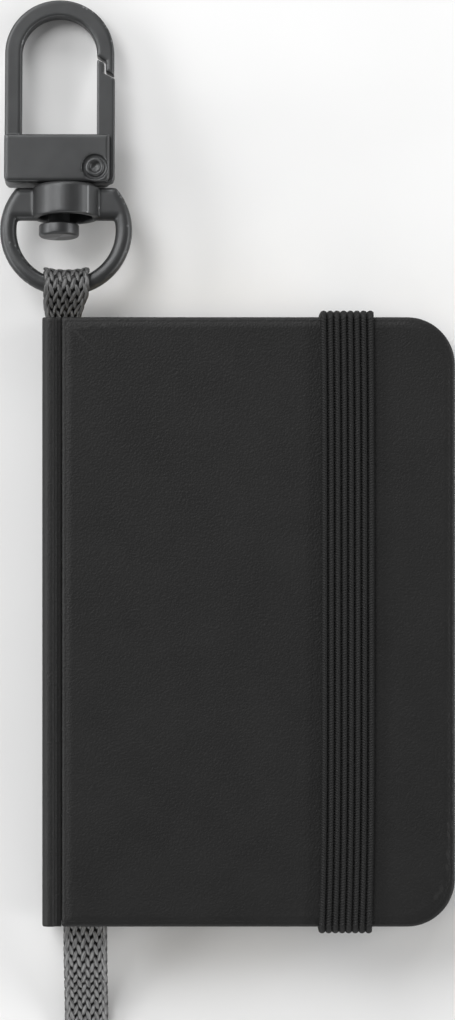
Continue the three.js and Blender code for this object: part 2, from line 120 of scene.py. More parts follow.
def new_object(name, verts, faces, material, smooth=True):
    """A mesh object with its faces pointing out."""
    mesh = bpy.data.meshes.new(name)
    mesh.from_pydata([tuple(v) for v in verts], [], [tuple(f) for f in faces])
    edit = bmesh.new()
    edit.from_mesh(mesh)
    bmesh.ops.recalc_face_normals(edit, faces=edit.faces)
    edit.to_mesh(mesh)
    edit.free()
    obj = bpy.data.objects.new(name, mesh)
    bpy.context.scene.collection.objects.link(obj)
    mesh.materials.append(material)
    if smooth:
        mesh.polygons.foreach_set("use_smooth", [True] * len(mesh.polygons))
    return obj


def lofted(rings, start=0):
    """Quads between rings of equally many points, with the first and last ring filled in."""
    count = len(rings[0])
    faces = []
    for r in range(len(rings) - 1):
        a, b = start + r * count, start + (r + 1) * count
        for k in range(count):
            n = (k + 1) % count
            faces.append((a + k, a + n, b + n, b + k))
    faces.append(tuple(start + k for k in range(count))[::-1])
    faces.append(tuple(start + (len(rings) - 1) * count + k for k in range(count)))
    return np.concatenate(rings), faces


def even_outline(points, spacing):
    """A closed outline again, with its long stretches divided to about spacing."""
    out = []
    for a, b in zip(points, np.roll(points, -1, axis=0)):
        parts = max(1, round(float(np.linalg.norm(b - a)) / spacing))
        out += [a + (b - a) * k / parts for k in range(parts)]
    return np.array(out)


def leaf_outline(left, right, half, radius, small, steps=14):
    """A leaf or board: nearly square at the spine, with round corners at the fore-edge."""
    corners = [
        (right - radius, -half + radius, radius, -90, steps),
        (right - radius, half - radius, radius, 0, steps),
        (left + small, half - small, small, 90, 4),
        (left + small, -half + small, small, 180, 4),
    ]
    points = []
    for cx, cy, r, first, count in corners:
        for k in range(count + 1):
            angle = math.radians(first + 90 * k / count)
            points.append((cx + r * math.cos(angle), cy + r * math.sin(angle)))
    return np.array(points)


def wander(x, y, scale, seed):
    """Smooth repeatable noise from about -1 to 1, as a sum of sines with no common period."""
    rng = np.random.default_rng(seed)
    total = np.zeros(np.broadcast(x, y).shape)
    for _ in range(11):
        angle, phase = rng.uniform(0, 2 * math.pi, 2)
        frequency = rng.uniform(0.5, 1.7) * 2 * math.pi / scale
        total += np.sin(frequency * (x * math.cos(angle) + y * math.sin(angle)) + phase)
    return total / 5


def smoothstep(low, high, value):
    share = np.clip((value - low) / (high - low), 0, 1)
    return share * share * (3 - 2 * share)


def point_values(obj, name, values):
    """One number for each vertex, for a material's Attribute node."""
    layer = obj.data.attributes.new(name, "FLOAT", "POINT")
    layer.data.foreach_set("value", np.asarray(values, np.float32))


def point_vectors(obj, name, vectors):
    layer = obj.data.attributes.new(name, "FLOAT_VECTOR", "POINT")
    layer.data.foreach_set("vector", np.asarray(vectors, np.float32).ravel())


def in_place_of(piece, body, slot, *nodes):
    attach(piece, body)
    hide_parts(*nodes)


# ---- Materials ----


class Paint:
    """A material's node tree, with short calls for the nodes that this script uses."""

    def __init__(self, name, color, roughness, **uniform):
        self.material = bpy.data.materials.new(name)
        self.material.use_nodes = True
        self.tree = self.material.node_tree
        self.shader = self.tree.nodes["Principled BSDF"]
        self.shader.inputs["Base Color"].default_value = (*color, 1)
        self.shader.inputs["Roughness"].default_value = roughness
        for socket, value in uniform.items():
            self.shader.inputs[socket.replace("_", " ")].default_value = value
        self.coords = self.tree.nodes.new("ShaderNodeTexCoord").outputs["Object"]

    def link(self, source, target):
        self.tree.links.new(source, target)

    def attribute(self, name, output="Fac"):
        node = self.tree.nodes.new("ShaderNodeAttribute")
        node.attribute_name = name
        return node.outputs[output]

    def stretched(self, scale, vector=None):
        node = self.tree.nodes.new("ShaderNodeMapping")
        node.inputs["Scale"].default_value = scale
        self.link(vector or self.coords, node.inputs["Vector"])
        return node.outputs["Vector"]

    def noise(self, scale, detail=3, rough=0.55, vector=None):
        node = self.tree.nodes.new("ShaderNodeTexNoise")
        node.inputs["Scale"].default_value = scale
        node.inputs["Detail"].default_value = detail
        node.inputs["Roughness"].default_value = rough
        self.link(vector or self.coords, node.inputs["Vector"])
        return node.outputs["Fac"]

    def cells(self, scale, feature="F1", vector=None):
        node = self.tree.nodes.new("ShaderNodeTexVoronoi")
        node.feature = feature
        node.inputs["Scale"].default_value = scale
        self.link(vector or self.coords, node.inputs["Vector"])
        return node.outputs["Distance"]

    def waves(self, scale, distortion=0.0, direction="X", vector=None):
        node = self.tree.nodes.new("ShaderNodeTexWave")
        node.bands_direction = direction
        node.inputs["Scale"].default_value = scale
        node.inputs["Distortion"].default_value = distortion
        self.link(vector or self.coords, node.inputs["Vector"])
        return node.outputs["Fac"]

    def ramp(self, source, low, high, from_low=0.0, from_high=1.0):
        """source, from from_low..from_high to low..high."""
        node = self.tree.nodes.new("ShaderNodeMapRange")
        node.inputs["From Min"].default_value = from_low
        node.inputs["From Max"].default_value = from_high
        node.inputs["To Min"].default_value = low
        node.inputs["To Max"].default_value = high
        self.link(source, node.inputs["Value"])
        return node.outputs["Result"]

    def math(self, operation, a, b):
        node = self.tree.nodes.new("ShaderNodeMath")
        node.operation = operation
        for socket, value in zip(node.inputs, (a, b)):
            if isinstance(value, (int, float)):
                socket.default_value = value
            else:
                self.link(value, socket)
        return node.outputs["Value"]

    def color(self, amount, dark, light):
        """Base colour between dark and light by amount."""
        node = self.tree.nodes.new("ShaderNodeMix")
        node.data_type = "RGBA"
        node.inputs["A"].default_value = (*dark, 1)
        node.inputs["B"].default_value = (*light, 1)
        self.link(amount, node.inputs["Factor"])
        self.link(node.outputs["Result"], self.shader.inputs["Base Color"])

    def rough(self, amount):
        self.link(amount, self.shader.inputs["Roughness"])

    def bump(self, *layers):
        """layers are (height, depth in metres), added one on the other."""
        last = None
        for height, depth in layers:
            node = self.tree.nodes.new("ShaderNodeBump")
            node.inputs["Strength"].default_value = 1
            node.inputs["Distance"].default_value = depth
            self.link(height, node.inputs["Height"])
            if last is not None:
                self.link(last, node.inputs["Normal"])
            last = node.outputs["Normal"]
        self.link(last, self.shader.inputs["Normal"])

    def painted_edge_highlight(self, low=0.51, high=0.58):
        """1 where the surface turns sharply outwards, 0 where it is flat; it masks a painted highlight
        along edges.
        """
        node = self.tree.nodes.new("ShaderNodeNewGeometry")
        return self.ramp(node.outputs["Pointiness"], 0, 1, low, high)


def grey(value, warm=0.0):
    return (value * (1 + warm), value, value * (1 - warm))


def leatherette():
    paint = Paint("leatherette", grey(0.006), 0.5, Specular_IOR_Level=0.28)
    grain = paint.cells(4800, "SMOOTH_F1")
    fine = paint.noise(9000, 2)
    patches = paint.noise(150, 3)
    tone = paint.math("ADD", paint.ramp(patches, 0.05, 0.2, 0.3, 0.7), paint.ramp(grain, 0, 0.4, 0, 0.8))
    # Painted highlight: edges are lightened on top of the grain and patch tone.
    grain_and_edge_highlight = paint.math("ADD", tone, paint.math("MULTIPLY", paint.painted_edge_highlight(), 0.8))
    paint.color(grain_and_edge_highlight, grey(0.004), grey(0.0135, 0.01))
    paint.rough(paint.ramp(patches, 0.51, 0.55, 0.3, 0.7))
    paint.bump((grain, 0.00004), (fine, 0.00001))
    return paint.material


def woven_elastic():
    paint = Paint("woven_elastic", grey(0.012), 0.75, Specular_IOR_Level=0.3)
    weave = paint.attribute("weave", "Vector")
    slant = paint.waves(1, 0.25, "DIAGONAL", paint.stretched((1, 1, 0), weave))
    fuzz = paint.noise(12000, 2)
    # Painted shade: the colour darkens from the rib crowns into the valleys between the ribs.
    crown_and_gap_shade = paint.ramp(paint.attribute("crown_and_gap_shade"), 0, 1, 0.25, 0.95)
    paint.color(paint.math("MULTIPLY", crown_and_gap_shade, paint.ramp(slant, 0.5, 1)), grey(0.001), grey(0.0125))
    paint.rough(paint.ramp(fuzz, 0.65, 0.85))
    paint.bump((slant, 0.00009), (fuzz, 0.00001))
    return paint.material


def braided_yarn():
    paint = Paint("braided_yarn", grey(0.05), 0.45, Specular_IOR_Level=0.6)
    yarn = paint.attribute("yarn", "Vector")
    filament = paint.noise(1, 2, 0.6, paint.stretched((700, 1.5, 3), yarn))
    # Painted shade: strands are darkened where they dip into the gaps between stitches.
    painted_gap_shade = paint.attribute("painted_gap_shade")
    tone = paint.math("MULTIPLY", painted_gap_shade, paint.ramp(filament, 0.25, 1.4, 0.3, 0.7))
    paint.color(tone, grey(0.004), grey(0.25))
    paint.rough(paint.ramp(filament, 0.32, 0.55))
    paint.bump((filament, 0.00006),)
    return paint.material


def gunmetal():
    paint = Paint("gunmetal", grey(0.05), 0.36, Metallic=0.8)
    peel = paint.noise(1500, 3)
    mottled = paint.noise(320, 2)
    # Painted highlight: thin lighter lines along edges and chamfers, added to the random mottled tone.
    metal_edge_highlight = paint.math("MULTIPLY", paint.painted_edge_highlight(0.515, 0.58), 0.9)
    tone = paint.math("ADD", paint.ramp(mottled, 0.08, 0.18, 0.3, 0.7), metal_edge_highlight)
    paint.color(tone, grey(0.045, -0.02), grey(0.14, -0.02))
    paint.rough(paint.ramp(mottled, 0.41, 0.45, 0.3, 0.7))
    paint.bump((peel, 0.000004),)
    return paint.material


def spring_wire():
    paint = Paint("spring_wire", grey(0.5), 0.3, Metallic=1)
    drawn = paint.noise(4000, 2, vector=paint.stretched((1, 6, 6)))
    paint.color(drawn, grey(0.4), grey(0.6))
    paint.rough(paint.ramp(drawn, 0.22, 0.4))
    paint.bump((drawn, 0.000005),)
    return paint.material


def paper(name, color, shade):
    paint = Paint(name, color, 0.85, Specular_IOR_Level=0.3)
    fibre = paint.noise(2600, 4, 0.6)
    cloud = paint.noise(90, 3)
    paint.color(paint.ramp(cloud, 0, 1, 0.3, 0.7), tuple(c * shade for c in color), color)
    paint.rough(paint.ramp(fibre, 0.78, 0.92))
    paint.bump((fibre, 0.00001),)
    return paint.material


def greyboard():
    paint = Paint("greyboard", (0.27, 0.24, 0.2), 0.9)
    fleck = paint.noise(1500, 4, 0.7)
    paint.color(paint.ramp(fleck, 0, 1, 0.35, 0.65), (0.2, 0.18, 0.15), (0.33, 0.3, 0.25))
    paint.rough(paint.ramp(fleck, 0.82, 0.95))
    paint.bump((fleck, 0.00003),)
    return paint.material


def binding_cloth():
    paint = Paint("binding_cloth", (0.6, 0.57, 0.5), 0.9)
    across = paint.waves(520, 0.4, "Y")
    along = paint.waves(520, 0.4, "Z")
    weave = paint.math("MULTIPLY", across, along)
    paint.color(weave, (0.38, 0.36, 0.31), (0.66, 0.63, 0.56))
    paint.bump((weave, 0.00005),)
    return paint.material


LEATHERETTE = leatherette()
ELASTIC = woven_elastic()
BRAID = braided_yarn()
GUNMETAL = gunmetal()
SPRING = spring_wire()
PAPER = paper("writing_paper", (0.86, 0.8, 0.68), 0.93)
ENDPAPER = paper("endpaper", (0.8, 0.74, 0.62), 0.95)
BOARD = greyboard()
CLOTH = binding_cloth()

# ---- Braided cord ----

STRANDS = 11
BRAID_T = 0.8 * MM
STITCH = 1.65 * MM
STRAND_W = 0.6 * MM
STRAND_T = 0.4 * MM
STRAND_SIDES = 8
LEAN = 0.4
CORE_T = 0.16 * MM


# Where a strand shows on its face, counted in the columns it passes on its way across and back.
STITCH_CENTRES = np.array([*range(0, STRANDS, 2), *range(STRANDS, 2 * STRANDS, 2), 2 * STRANDS])


def braid_places(turn):
    """Where a strand is after that many turns of its zigzag: across (-1 to 1), height, width.

    It shows as a long narrow stitch that leans a little, then dips and crosses quickly under
    the next column. At the edges it turns without a dip."""
    count = np.mod(turn, 1.0) * 2 * STRANDS
    after = np.searchsorted(STITCH_CENTRES, count, side="right").clip(1, len(STITCH_CENTRES) - 1)
    before = STITCH_CENTRES[after - 1]
    half_gap = (STITCH_CENTRES[after] - before) / 2
    nearest = np.where(count < before + half_gap, before, STITCH_CENTRES[after])
    away = (count - nearest) / half_gap
    drift = LEAN * away + (1 - LEAN) * np.sign(away) * np.abs(away) ** 5
    sharp = 0.95
    swing = np.sin(2 * math.pi * ((nearest + drift * half_gap) / (2 * STRANDS) - 0.25))
    across = np.arcsin(sharp * swing) / math.asin(sharp)
    dips = half_gap > 0.6
    height = np.where(dips, 1 - np.abs(away) ** 5, 1)
    width = np.where(dips, 1 - 0.5 * away**2, 1)
    return across, height, width


# The last argument darkens the whole braid's colour, as painted shade.
def braid(name, place, length, width_at, settle=None, step=0.15 * MM, painted_light_factor=1.0):
    """A flattened tube of braid round a thin core, with stitches on both of its faces.

    place(distance) gives its centre line, across and up directions as arrays of 3-vectors."""
    along = np.linspace(0, length, max(2, round(length / step)) + 1)
    point, across_axis, up_axis = place(along)
    width = width_at(along)
    scale = width / width.max()
    angles = np.arange(STRAND_SIDES) * 2 * math.pi / STRAND_SIDES
    period = STRANDS * STITCH
    verts, faces, painted_gap_shade, yarn = [], [], [], []
    core = []
    for side, face in ((-1, -1), (1, -1), (1, 1), (-1, 1)):
        reach = side * (width / 2 - STRAND_W * 0.7)
        corner = point + across_axis * reach[:, None] + up_axis * face * CORE_T / 2
        core.append(settle(corner) if settle else corner)
    core_verts, core_faces = lofted(list(np.stack(core, axis=1)))
    for k, side in [(k, side) for side in (1, -1) for k in range(STRANDS)]:
        across, over, narrow = braid_places(along / period + (k + (side < 0) / 2) / STRANDS)
        edge = smoothstep(0.72, 0.95, np.abs(across))
        strand_w = STRAND_W * narrow * scale
        strand_t = STRAND_T * (0.5 + 0.5 * over)
        reach = (width - STRAND_W * scale) / 2 * across
        lift = side * over * (BRAID_T - STRAND_T) / 2
        line = point + across_axis * reach[:, None] + up_axis * lift[:, None]
        if settle:
            line = settle(line)
        tangent = np.gradient(line, axis=0)
        tangent /= np.linalg.norm(tangent, axis=1)[:, None]
        flat = np.cross(up_axis, tangent)
        flat /= np.linalg.norm(flat, axis=1)[:, None]
        thick = np.cross(tangent, flat)
        rings = []
        for angle in angles:
            aside = flat * (strand_w / 2 * math.cos(angle))[:, None]
            rings.append(line + aside + thick * (strand_t / 2 * math.sin(angle))[:, None])
            # Painted shade for each vertex: 1 where a strand lies on the braid's face, falling to 0
            # where it dips into the gaps, a little raised at the turning edges.
            top = np.abs(lift + strand_t / 2 * math.sin(angle)) / (BRAID_T / 2)
            painted_gap_shade.append(painted_light_factor * np.maximum(smoothstep(0.66, 1, top), 0.45 * edge * (top > 0.5)))
            yarn.append(np.column_stack([along, np.full_like(along, angle), np.full_like(along, k)]))
        strand, quads = lofted(list(np.stack(rings, axis=1)), start=sum(len(v) for v in verts))
        verts.append(strand)
        faces += quads
    start = sum(len(v) for v in verts)
    faces += [tuple(start + v for v in face) for face in core_faces]
    piece = new_object(name, np.concatenate([*verts, core_verts]), faces, BRAID)
    by_strand = (2 * STRANDS, STRAND_SIDES, len(along))
    shown = np.reshape(painted_gap_shade, by_strand).transpose(0, 2, 1).ravel()
    threads = np.reshape(yarn, (*by_strand, 3)).transpose(0, 2, 1, 3).reshape(-1, 3)
    point_values(piece, "painted_gap_shade", np.concatenate([shown, np.zeros(len(core_verts))]))
    point_vectors(piece, "yarn", np.concatenate([threads, core_verts]))
    return piece


def planar_route(points, x):
    """place() for a route in a plane of constant x, from its (y, z) points, and its length."""
    points = np.array(points)
    steps = np.concatenate([[0], np.cumsum(np.linalg.norm(np.diff(points, axis=0), axis=1))])

    def place(along):
        y, z = (np.interp(along, steps, points[:, k]) for k in (0, 1))
        line = np.stack([np.full_like(y, x), y, z], axis=1)
        tangent = np.gradient(line, axis=0)
        tangent /= np.linalg.norm(tangent, axis=1)[:, None]
        across = np.tile([1.0, 0, 0], (len(along), 1))
        return line, across, np.cross(across, tangent)

    return place, float(steps[-1])


def smooth_points(points, repeats=3):
    """Corner-cutting, so that a route's straight pieces join in a curve."""
    points = np.array(points, float)
    for _ in range(repeats):
        a, b = points[:-1], points[1:]
        cut = np.stack([0.75 * a + 0.25 * b, 0.25 * a + 0.75 * b], axis=1).reshape(-1, 2)
        points = np.concatenate([points[:1], cut, points[-1:]])
    return points


# The bookmark's route in y and z, as in the CAD part, in millimetres.
BOOKMARK_ROUTE = [
    (26.4, 5.1), (20, 5.1), (13, 5.1), (6, 5.1), (-1, 5.1), (-8, 5.1), (-15, 5.1), (-22, 5.1),
    (-28, 5.1), (-33, 5.1), (-37.2, 5.1), (-38.81, 4.98), (-40.38, 4.63), (-41.88, 4.05),
    (-43.29, 3.26), (-44.56, 2.27), (-45.83, 1.29), (-47.24, 0.5), (-48.74, -0.08),
    (-50.31, -0.43), (-51.92, -0.55), (-52.5, -0.55),
]


def bookmark():
    x = (TAIL_LOW.x + TAIL_HIGH.x) / 2
    width = TAIL_HIGH.x - TAIL_LOW.x
    place, length = planar_route(smooth_points(np.array(BOOKMARK_ROUTE) * MM), x)
    piece = braid("bookmark", place, length, lambda along: np.full_like(along, width))
    in_place_of(piece, "root", "braid", "bookmark_ribbon")
    path = place(np.linspace(0, length, 160))[0].tolist()


bookmark()

LOOP_NECK_Y = HALF_H + 0.7 * MM
LOOP_CLEAR = 1.45 * MM
RING_INNER_R = 6.1 * MM


def ring_loop():
    """Two legs, flat together under the head of the cover, that part round the ring's bar."""
    leg = BRAID_T / 2
    wrap = LOOP_CLEAR + leg
    root_y = LOOP_LOW.y
    lean = math.acos(wrap / (BAR.y - LOOP_NECK_Y))
    arc = np.linspace(math.pi + lean, 3 * math.pi - lean, 30)
    inner_end = (root_y + 5 * MM, HALF_H - 1 * MM, LOOP_NECK_Y)
    points = [(root_y, MIDDLE_Z - leg)] + [(y, MIDDLE_Z - leg) for y in inner_end]
    points += [(BAR.y + wrap * math.cos(a), BAR.z + wrap * math.sin(a)) for a in arc]
    points += [(y, MIDDLE_Z + leg) for y in inner_end[::-1]] + [(root_y, MIDDLE_Z + leg)]
    bight_x = BAR.x + 0.12 * MM
    neck_x = bight_x - 0.36 * MM
    root_x = (LOOP_LOW.x + LOOP_HIGH.x) / 2 + 0.3 * MM
    flat_place, length = planar_route(smooth_points(points, 2), bight_x)

    def rise(y):
        return smoothstep(LOOP_NECK_Y, BAR.y - 0.5 * MM, y)

    def place(along):
        line, across, up = flat_place(along)
        tucked = smoothstep(HALF_H + 0.1 * MM, HALF_H - 1.5 * MM, line[:, 1])
        rear = np.where(line[:, 2] < MIDDLE_Z, -0.14, 0.04) * MM * (1 - tucked)
        line[:, 0] += (neck_x - bight_x) * (1 - rise(line[:, 1])) + (root_x - neck_x) * tucked + rear
        return line, across, up

    def width(along):
        y = flat_place(along)[0][:, 1]
        tucked = smoothstep(HALF_H + 0.1 * MM, HALF_H - 1.5 * MM, y)
        spread = smoothstep(HALF_H - 0.8 * MM, BAR.y - 0.6 * MM, y)
        return (4.0 + 1.6 * spread - 0.9 * tucked) * MM

    def settle(line):
        """The bight follows half of the curve of the ring's bar, which it lies on."""
        off = line[:, 0] - BAR.x
        sag = RING_INNER_R - np.sqrt(RING_INNER_R**2 - off**2)
        moved = line.copy()
        moved[:, 1] += 0.5 * sag * rise(line[:, 1])
        return moved

    # The loop is darkened as a whole, as painted shade.
    piece = braid("ring_loop", place, length, width, settle, step=0.13 * MM, painted_light_factor=0.38)
    in_place_of(piece, "root", "braid", "ribbon_loop")


ring_loop()

# ---- Case ----

SKIN = 0.3 * MM
CORNER_R = 5.85 * MM
BOARD_EDGE = BACK_LOW.x
SHOULDER_X = SPINE_LOW.x + 1.25 * MM
SHOULDER_Z = SPINE_LOW.z
FLOOR_X = SHOULDER_X + 0.6 * MM
GROOVE = 0.55 * MM


def board_edge_profile(thick):
    """The leatherette's section round a board's edge, as (inset, depth) from the outer face."""
    edge, lip = 0.55 * MM, 0.16 * MM
    roll, roll_depth = 1.35 * MM, 0.15 * MM
    profile = [(SKIN, SKIN), (SKIN, thick - 0.05 * MM)]
    profile += [(SKIN - 0.04 * MM, thick - 0.01 * MM)]
    profile += [(lip * (1 - math.sin(a)), thick - lip * (1 - math.cos(a)))
                for a in np.linspace(0, math.pi / 2, 5)]
    profile += [(edge * (1 - math.cos(a)), roll_depth + (edge - roll_depth) * (1 - math.sin(a)))
                for a in np.linspace(0, math.pi / 2, 11)]
    profile += [(edge + (roll - edge) * s, roll_depth * (1 - s) ** 2) for s in np.linspace(0.12, 1, 8)]
    profile += [(1.45 * MM, 0), (1.6 * MM, 0), (3 * MM, 0), (6 * MM, 0), (11 * MM, 0), (17 * MM, 0)]
    return profile


def cover_shell(side, body):
    """The leatherette over one board, rounded at its edges and turned in to the pastedown."""
    low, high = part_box(f"{side}_cover_skin")
    thick = high.z - low.z
    outline = leaf_outline(low.x, high.x, HALF_H, CORNER_R, 0.25 * MM, 26)
    outline = even_outline(outline, 0.3 * MM)
    centre = np.array([(low.x + high.x) / 2, 0])
    half_w = (high.x - low.x) / 2
    rings = []
    for inset, depth in board_edge_profile(thick):
        flat = (outline - centre) * [1 - inset / half_w, 1 - inset / HALF_H] + centre
        crumple = wander(flat[:, 0], flat[:, 1], 0.8 * MM, 5) * 0.012 * MM
        groove_side = smoothstep(low.x + 0.9 * MM, low.x + 0.2 * MM, flat[:, 0])
        crumple += groove_side * wander(flat[:, 0], flat[:, 1], 0.55 * MM, 8) * 0.04 * MM
        outside = depth < thick / 2
        fade = smoothstep(1.3 * MM, 0.6 * MM, inset)
        drop = depth + (np.abs(crumple) * fade if outside else 0 * crumple)
        z = low.z + drop if side == "back" else high.z - drop
        rings.append(np.column_stack([flat, z]))
    verts, faces = lofted(rings)
    piece = new_object(f"{side}_cover", verts, faces, LEATHERETTE)
    in_place_of(piece, body, "leatherette", f"{side}_cover_skin")
    return piece


def cut_slots(shell):
    """The two slots that the closure band's ends go through."""
    for name in ("elastic_anchor_head", "elastic_anchor_tail"):
        low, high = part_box(name)
        inner = sorted((low.y, high.y), key=abs)[0]
        outer = inner + math.copysign(0.95 * MM, inner)
        near, far = sorted((inner - math.copysign(0.1 * MM, inner), outer))
        corners = [(x, y, z) for x in (low.x - 0.1 * MM, high.x + 0.1 * MM)
                   for y in (near, far) for z in (-1 * MM, 1.55 * MM)]
        sides = [(0, 1, 3, 2), (4, 5, 7, 6), (0, 1, 5, 4), (2, 3, 7, 6), (0, 2, 6, 4), (1, 3, 7, 5)]
        tool = new_object("slot_tool", corners, sides, LEATHERETTE, smooth=False)
        modifier = shell.modifiers.new("slot", "BOOLEAN")
        modifier.object = tool
        modifier.operation = "DIFFERENCE"
        modifier.solver = "EXACT"
        applied = bpy.data.meshes.new_from_object(
            shell.evaluated_get(bpy.context.evaluated_depsgraph_get()))
        shell.modifiers.remove(modifier)
        shell.data = applied
        bpy.data.objects.remove(tool)


def swept_skin(name, outer, sides, crumple_size):
    """A strip of leatherette: outer is its (x, z) section, sides the way each point faces."""
    stations = [0, 0.02, 0.07, 0.15, 0.3]
    ends = np.array(stations) * MM - HALF_H
    middle = np.linspace(ends[-1], -ends[-1], round(2 * HALF_H / (0.35 * MM)))[1:-1]
    places = np.concatenate([ends, middle, -ends[::-1]])
    radius = 0.3 * MM
    rings = []
    for y in places:
        inside = np.clip(HALF_H - abs(y), 0, radius)
        round_off = 0.6 * (radius - math.sqrt(radius**2 - (radius - inside) ** 2))
        crease = wander(outer[:, 0] + outer[:, 1], np.full(len(outer), y), 1.1 * MM, 12) * crumple_size
        face = outer - sides * (round_off + np.abs(crease))[:, None]
        back = outer - sides * SKIN
        section = np.concatenate([face, back[::-1]])
        rings.append(np.column_stack([section[:, 0], np.full(len(section), y), section[:, 1]]))
    verts, faces = lofted(rings)
    return new_object(name, verts, faces, LEATHERETTE)


def facing(outline, towards):
    """Unit normals of an open (x, z) line, on the side that towards lies."""
    along = np.gradient(outline, axis=0)
    normal = np.column_stack([-along[:, 1], along[:, 0]])
    normal /= np.linalg.norm(normal, axis=1)[:, None]
    return normal * np.sign((normal * towards).sum(axis=1).mean())


def hinge_skins():
    """Between the spine and each board: a round shoulder, then the groove the cover opens on."""
    radius_x = SHOULDER_X - SPINE_LOW.x - 0.05 * MM
    turns = np.linspace(0, math.pi / 2, 16)
    shoulder = [(SPINE_LOW.x + radius_x * (1 - math.cos(a)), SHOULDER_Z * (1 - math.sin(a)))
                for a in turns]
    slope = [(SHOULDER_X + (FLOOR_X - SHOULDER_X) * s, GROOVE * smoothstep(0, 1, s))
             for s in np.linspace(0, 1, 9)]
    floor = [(FLOOR_X + (BOARD_EDGE - FLOOR_X) * s, GROOVE) for s in (0.3, 0.6, 0.95)]
    section = np.array(shoulder + slope + floor)
    depth_side = facing(section, np.array([-1.0, -1.0]))
    for side, bodies in (("back", ("root", "spine")), ("front", ("spine", "front_cover"))):
        outline, sides = section.copy(), depth_side.copy()
        if side == "front":
            outline[:, 1] = BOOK_TOP - outline[:, 1]
            sides[:, 1] *= -1
        piece = swept_skin(f"{side}_hinge", outline, sides, 0.008 * MM)
        spine_end = Vector((SPINE_LOW.x, 0, outline[0, 1]))
        board_end = Vector((BOARD_EDGE, 0, outline[-1, 1]))
        start, end = (board_end, spine_end) if side == "back" else (spine_end, board_end)
        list(bodies)
        tuple(start)
        tuple(end)
        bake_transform(piece)
        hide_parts(f"{side}_hinge_skin")


def spine_sheet():
    z = np.linspace(SPINE_LOW.z, SPINE_HIGH.z, 14)
    outline = np.column_stack([np.full_like(z, SPINE_LOW.x), z])
    sides = np.tile([-1.0, 0.0], (len(z), 1))
    piece = swept_skin("spine_cover", outline, sides, 0)
    in_place_of(piece, "spine", "leatherette", "spine_skin")


cover_shell("front", "front_cover")
cut_slots(cover_shell("back", "root"))
hinge_skins()
spine_sheet()

# ---- Text block ----

LEAVES = 8
PAGE_R = 4 * MM


def prism(outline, low, high, verts, faces):
    """Adds one leaf, outline carried from low to high, to the lists."""
    start = len(verts)
    count = len(outline)
    verts += [(x, y, low) for x, y in outline] + [(x, y, high) for x, y in outline]
    for k in range(count):
        n = (k + 1) % count
        faces.append((start + k, start + n, start + count + n, start + count + k))
    faces.append(tuple(start + k for k in range(count))[::-1])
    faces.append(tuple(start + count + k for k in range(count)))


def page_outlines(left, right, half, from_middle):
    """A leaf's outlines: whole, or cut away where the braid's roots lie between the pages."""
    round_side = leaf_outline(left, right, half, PAGE_R, 0.02 * MM)[:30]
    ribbon_right = TAIL_HIGH.x + 0.3 * MM
    ribbon_left = TAIL_LOW.x - 0.1 * MM
    loop_right = LOOP_HIGH.x + 0.3 * MM
    ribbon_top = LOOP_LOW.y - 0.2 * MM
    if from_middle > 0.9 * MM:
        return [np.concatenate([round_side, [(left, half), (left, -half)]])]
    if from_middle > 0.5 * MM:
        step = [(loop_right, half), (loop_right, ribbon_top), (left, ribbon_top), (left, -half)]
        return [np.concatenate([round_side, step])]
    step = [(loop_right, half), (loop_right, ribbon_top),
            (ribbon_right, ribbon_top), (ribbon_right, -half)]
    strip = [(left, -half), (ribbon_left, -half), (ribbon_left, ribbon_top), (left, ribbon_top)]
    return [np.concatenate([round_side, step]), np.array(strip)]


def signature(name, body):
    """A folded gathering of leaves, each cut a hair differently."""
    low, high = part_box(name)
    rng = np.random.default_rng(sum(map(ord, name)))
    pitch = (high.z - low.z) / LEAVES
    verts, faces = [], []
    for k in range(LEAVES):
        bottom = low.z + k * pitch
        trim, shift = rng.uniform(0, 0.07) * MM, rng.uniform(-0.03, 0.03) * MM
        middle = abs(bottom + pitch / 2 - MIDDLE_Z) - pitch / 2
        for outline in page_outlines(low.x + 0.04 * MM, high.x - trim, high.y - 0.05 * MM, middle):
            outline = outline + [0, shift]
            prism(outline, bottom + 0.006 * MM, bottom + pitch - 0.006 * MM, verts, faces)
    piece = new_object(name.replace("signature", "leaves"), verts, faces, PAPER, smooth=False)
    in_place_of(piece, body, "paper", name)


for number in range(1, 5):
    signature(f"back_signature_{number}", "root")
    signature(f"front_signature_{number}", "front_pages")


def lining():
    """The cloth down the fold, which bends with the two halves of the pages in the real book; here it is
    a straight block that does not bend.
    """
    low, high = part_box("spine_lining")
    heights = np.linspace(low.z, high.z, 25)
    rings = []
    for z in heights:
        corners = [(low.x, low.y), (high.x, low.y), (high.x, high.y), (low.x, high.y)]
        outline = even_outline(np.array(corners), 4 * MM)
        rings.append(np.column_stack([outline, np.full(len(outline), z)]))
    verts, faces = lofted(rings)
    piece = new_object("lining", verts, faces, CLOTH, smooth=False)
    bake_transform(piece)
    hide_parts("spine_lining")


lining()

# ---- Elastic ----

RIBS = 8
THREAD = 0.26 * MM
ELASTIC_T = 0.75 * MM


